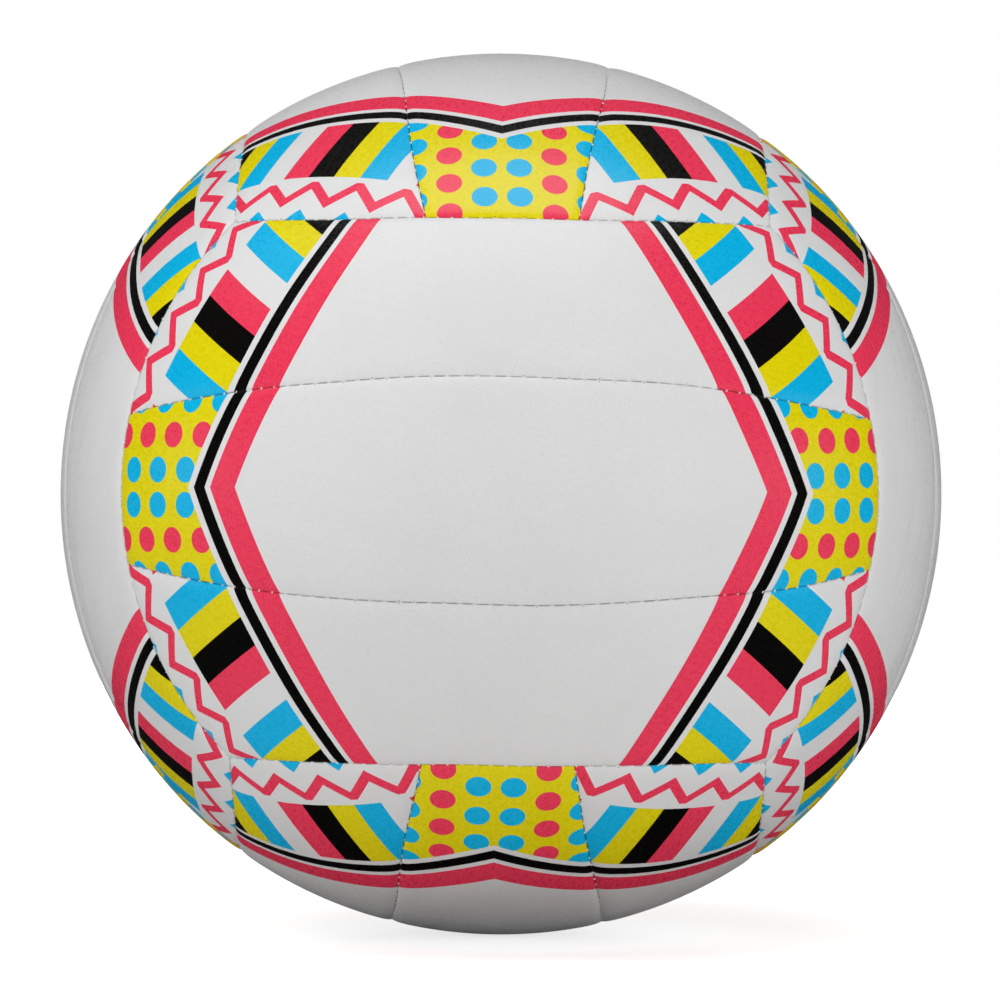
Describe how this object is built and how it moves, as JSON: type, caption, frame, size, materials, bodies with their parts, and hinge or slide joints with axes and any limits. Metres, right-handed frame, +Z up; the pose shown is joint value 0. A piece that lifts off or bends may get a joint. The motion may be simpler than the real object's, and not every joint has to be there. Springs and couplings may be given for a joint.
{
  "type": "volleyball",
  "caption": "Sewn volleyball with a printed soft cover of strips in crossed blocks, sponge and cloth backing, an air bladder and a needle valve.",
  "frame": {"origin": "centre of the ball", "axes": "+Z up and -Y towards the viewer as in the picture, with the valve on the far side, pointing along +Y"},
  "size_m": [0.21, 0.2099, 0.21],
  "materials": {
    "cover_leather": "satin synthetic leather with a fine pebble grain and a printed pattern",
    "sponge": "matt closed-cell sponge",
    "lining_cloth": "plain woven cloth",
    "thread": "twisted polyester thread",
    "bladder_rubber": "matt butyl rubber",
    "valve_rubber": "matt moulded rubber",
    "plug_rubber": "satin moulded rubber"
  },
  "bodies": {
    "ball": {"panel_front_lower": "cover_leather", "panel_front_middle": "cover_leather", "panel_front_upper": "cover_leather", "panel_back_lower": "cover_leather", "panel_back_middle": "cover_leather", "panel_back_upper": "cover_leather", "panel_left_front": "cover_leather", "panel_left_middle": "cover_leather", "panel_left_back": "cover_leather", "panel_right_back": "cover_leather", "panel_right_middle": "cover_leather", "panel_right_front": "cover_leather", "panel_top_right": "cover_leather", "panel_top_middle": "cover_leather", "panel_top_left": "cover_leather", "panel_bottom_left": "cover_leather", "panel_bottom_middle": "cover_leather", "panel_bottom_right": "cover_leather", "sponge_front_lower": "sponge", "sponge_front_middle": "sponge", "sponge_front_upper": "sponge", "sponge_back_lower": "sponge", "sponge_back_middle": "sponge", "sponge_back_upper": "sponge", "sponge_left_front": "sponge", "sponge_left_middle": "sponge", "sponge_left_back": "sponge", "sponge_right_back": "sponge", "sponge_right_middle": "sponge", "sponge_right_front": "sponge", "sponge_top_right": "sponge", "sponge_top_middle": "sponge", "sponge_top_left": "sponge", "sponge_bottom_left": "sponge", "sponge_bottom_middle": "sponge", "sponge_bottom_right": "sponge", "lining_front": "lining_cloth", "lining_back": "lining_cloth", "lining_left": "lining_cloth", "lining_right": "lining_cloth", "lining_top": "lining_cloth", "lining_bottom": "lining_cloth", "strip_thread_front": "thread", "strip_thread_back": "thread", "strip_thread_left": "thread", "strip_thread_right": "thread", "strip_thread_top": "thread", "strip_thread_bottom": "thread", "edge_thread_front": "thread", "edge_thread_back": "thread", "edge_thread_left": "thread", "edge_thread_right": "thread", "edge_thread_top": "thread", "edge_thread_bottom": "thread", "bladder": "bladder_rubber", "valve_patch": "bladder_rubber", "valve_housing": "valve_rubber"},
    "plug": {"valve_plug": "plug_rubber"}
  },
  "joints": [
    {"name": "plug_pull", "type": "slide", "parent": "ball", "child": "plug", "axis": [0, 1, 0], "range_m": [0, 0.026]}
  ]
}
